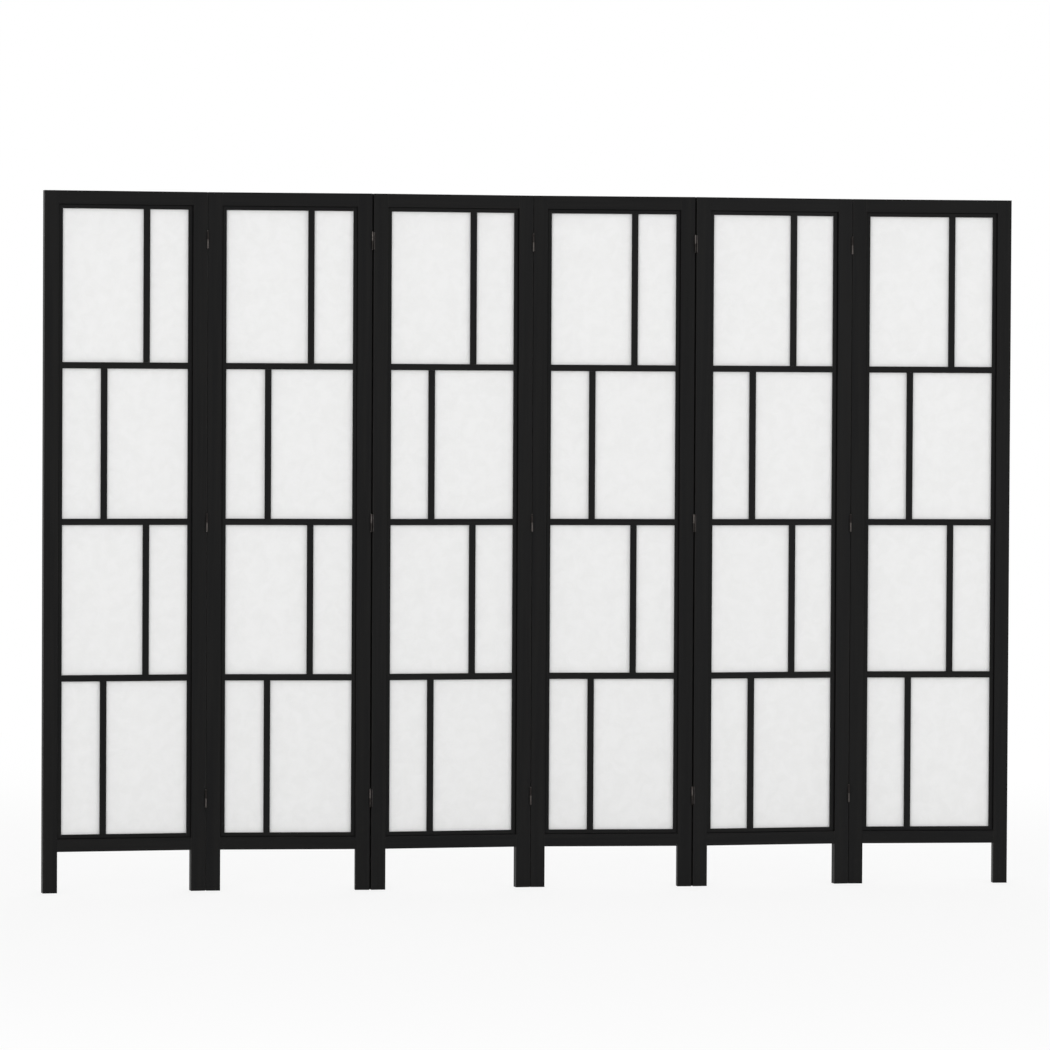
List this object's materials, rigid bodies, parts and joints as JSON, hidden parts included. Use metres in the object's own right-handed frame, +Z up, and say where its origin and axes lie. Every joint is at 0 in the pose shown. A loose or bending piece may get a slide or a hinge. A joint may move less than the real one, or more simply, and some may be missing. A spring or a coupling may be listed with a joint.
{
  "type": "shoji folding screen",
  "caption": "Folding floor screen of hinged black frames, each with an offset-bar lattice backed by white paper.",
  "frame": {"origin": "on the floor, at the middle of the length and depth of the screen as it stands in the picture", "axes": "+X along the screen to the right as seen from its front, +Y from the front to the back, +Z up"},
  "size_m": [2.4114, 0.0622, 1.7],
  "materials": {
    "black_paint": "satin black paint on wood",
    "paper": "matt white shoji paper",
    "hinge_bronze": "dark antique bronze plating"
  },
  "bodies": {
    "panel_1": {"panel_1_left_stile": "black_paint", "panel_1_right_stile": "black_paint", "panel_1_top_rail": "black_paint", "panel_1_bottom_rail": "black_paint", "panel_1_lattice": "black_paint", "panel_1_paper": "paper"},
    "panel_2": {"panel_2_left_stile": "black_paint", "panel_2_right_stile": "black_paint", "panel_2_top_rail": "black_paint", "panel_2_bottom_rail": "black_paint", "panel_2_lattice": "black_paint", "panel_2_paper": "paper"},
    "panel_3": {"panel_3_left_stile": "black_paint", "panel_3_right_stile": "black_paint", "panel_3_top_rail": "black_paint", "panel_3_bottom_rail": "black_paint", "panel_3_lattice": "black_paint", "panel_3_paper": "paper"},
    "panel_4": {"panel_4_left_stile": "black_paint", "panel_4_right_stile": "black_paint", "panel_4_top_rail": "black_paint", "panel_4_bottom_rail": "black_paint", "panel_4_lattice": "black_paint", "panel_4_paper": "paper"},
    "panel_5": {"panel_5_left_stile": "black_paint", "panel_5_right_stile": "black_paint", "panel_5_top_rail": "black_paint", "panel_5_bottom_rail": "black_paint", "panel_5_lattice": "black_paint", "panel_5_paper": "paper"},
    "panel_6": {"panel_6_left_stile": "black_paint", "panel_6_right_stile": "black_paint", "panel_6_top_rail": "black_paint", "panel_6_bottom_rail": "black_paint", "panel_6_lattice": "black_paint", "panel_6_paper": "paper"},
    "links_1": {"hinge_1_lower_link": "hinge_bronze", "hinge_1_middle_link": "hinge_bronze", "hinge_1_upper_link": "hinge_bronze"},
    "links_2": {"hinge_2_lower_link": "hinge_bronze", "hinge_2_middle_link": "hinge_bronze", "hinge_2_upper_link": "hinge_bronze"},
    "links_3": {"hinge_3_lower_link": "hinge_bronze", "hinge_3_middle_link": "hinge_bronze", "hinge_3_upper_link": "hinge_bronze"},
    "links_4": {"hinge_4_lower_link": "hinge_bronze", "hinge_4_middle_link": "hinge_bronze", "hinge_4_upper_link": "hinge_bronze"},
    "links_5": {"hinge_5_lower_link": "hinge_bronze", "hinge_5_middle_link": "hinge_bronze", "hinge_5_upper_link": "hinge_bronze"}
  },
  "joints": [
    {"name": "back_pins_1", "type": "hinge", "parent": "panel_2", "child": "links_1", "pos_m": [-0.80214, 0.02895, 0.897], "axis": [0, 0, 1], "range_deg": [-179, 0]},
    {"name": "front_pins_1", "type": "hinge", "parent": "links_1", "child": "panel_1", "pos_m": [-0.80423, -0.00098, 0.897], "axis": [0, 0, 1], "range_deg": [-8, 171]},
    {"name": "back_pins_2", "type": "hinge", "parent": "panel_3", "child": "links_2", "pos_m": [-0.40212, 0.00098, 0.897], "axis": [0, 0, -1], "range_deg": [-8, 171]},
    {"name": "front_pins_2", "type": "hinge", "parent": "links_2", "child": "panel_2", "pos_m": [-0.40421, -0.02895, 0.897], "axis": [0, 0, -1], "range_deg": [-179, 0]},
    {"name": "front_pins_3", "type": "hinge", "parent": "panel_3", "child": "links_3", "pos_m": [0, -0.00098, 0.897], "axis": [0, 0, -1], "range_deg": [-8, 171]},
    {"name": "back_pins_3", "type": "hinge", "parent": "links_3", "child": "panel_4", "pos_m": [0.00209, 0.02895, 0.897], "axis": [0, 0, -1], "range_deg": [-179, 0]},
    {"name": "front_pins_4", "type": "hinge", "parent": "panel_4", "child": "links_4", "pos_m": [0.40002, -0.02895, 0.897], "axis": [0, 0, 1], "range_deg": [-179, 0]},
    {"name": "back_pins_4", "type": "hinge", "parent": "links_4", "child": "panel_5", "pos_m": [0.40212, 0.00098, 0.897], "axis": [0, 0, 1], "range_deg": [-8, 171]},
    {"name": "front_pins_5", "type": "hinge", "parent": "panel_5", "child": "links_5", "pos_m": [0.80423, -0.00098, 0.897], "axis": [0, 0, -1], "range_deg": [-8, 171]},
    {"name": "back_pins_5", "type": "hinge", "parent": "links_5", "child": "panel_6", "pos_m": [0.80632, 0.02895, 0.897], "axis": [0, 0, -1], "range_deg": [-179, 0]}
  ]
}
